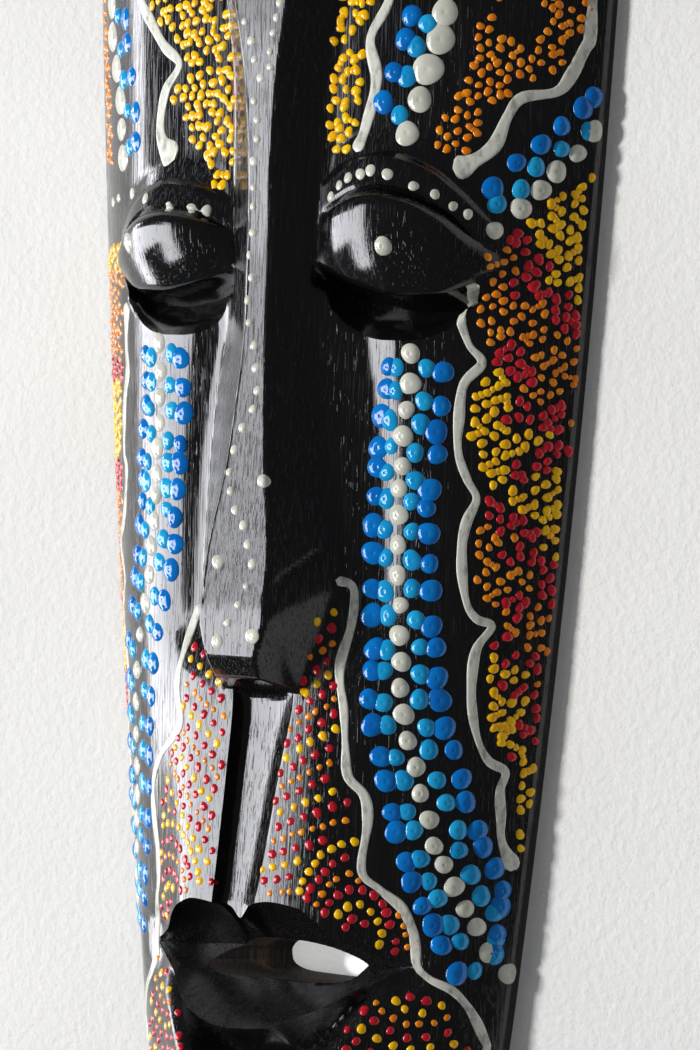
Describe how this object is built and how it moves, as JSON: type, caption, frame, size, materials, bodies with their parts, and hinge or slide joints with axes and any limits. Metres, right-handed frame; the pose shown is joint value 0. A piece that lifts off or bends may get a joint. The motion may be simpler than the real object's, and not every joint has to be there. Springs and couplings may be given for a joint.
{
  "type": "wall mask",
  "caption": "Long carved wooden face mask, hollow behind, with a narrow wedge nose, lidded eyes over deep sockets, an open slotted mouth and black paint with dotted patterns.",
  "frame": {"origin": "middle of the footprint on the plane of the flat back rim", "axes": "+X to the right as the face is seen, +Y toward the forehead, +Z out of the face; the mask lies on its back rim, face up"},
  "size_m": [0.1658, 0.5, 0.0544],
  "materials": {
    "black_paint": "gloss black paint brushed over carved wood",
    "white_paint": "thick gloss paint in dots and trailed lines",
    "deep_blue_paint": "thick gloss paint in dots",
    "light_blue_paint": "thick gloss paint in dots",
    "orange_paint": "thick gloss paint in dots",
    "yellow_paint": "thick gloss paint in dots",
    "red_paint": "thick gloss paint in dots"
  },
  "bodies": {
    "root": {"mask": "black_paint"}
  },
  "joints": []
}
